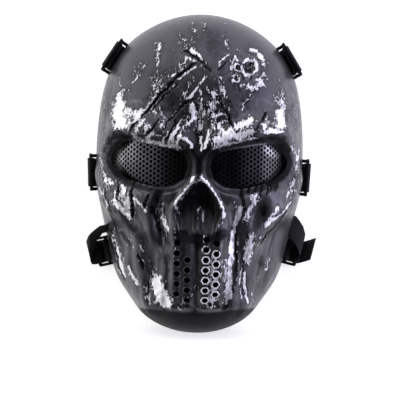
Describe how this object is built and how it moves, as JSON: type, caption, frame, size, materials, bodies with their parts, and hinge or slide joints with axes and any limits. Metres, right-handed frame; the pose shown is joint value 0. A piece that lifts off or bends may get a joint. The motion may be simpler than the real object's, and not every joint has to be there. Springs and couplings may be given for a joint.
{
  "type": "skull mask",
  "caption": "Full-face hard skull mask with perforated eye screens, hexagonal mouth vents and webbing head and jaw straps, lying face up on its open back.",
  "frame": {"origin": "middle of the open back, in the plane of the rim that the mask lies on", "axes": "+X to the right of the picture across the face, +Y from chin to crown, +Z out of the face and up from the table"},
  "size_m": [0.2019, 0.28, 0.1067],
  "materials": {
    "shell": "gunmetal paint, half gloss, with worn silver brush marks",
    "screen": "black, half gloss, perforated",
    "webbing": "woven, dull",
    "plastic": "black, moulded"
  },
  "bodies": {
    "root": {"face_shell": "shell", "eye_screen_left": "screen", "eye_screen_right": "screen", "crown_loop_left": "plastic", "crown_loop_right": "plastic", "temple_loop_left": "plastic", "temple_loop_right": "plastic", "jaw_buckle_left": "plastic", "jaw_buckle_right": "plastic", "crown_strap_left": "webbing", "crown_strap_right": "webbing", "temple_strap": "webbing", "neck_strap": "webbing", "jaw_tab_left": "webbing", "jaw_tab_right": "webbing"}
  },
  "joints": []
}
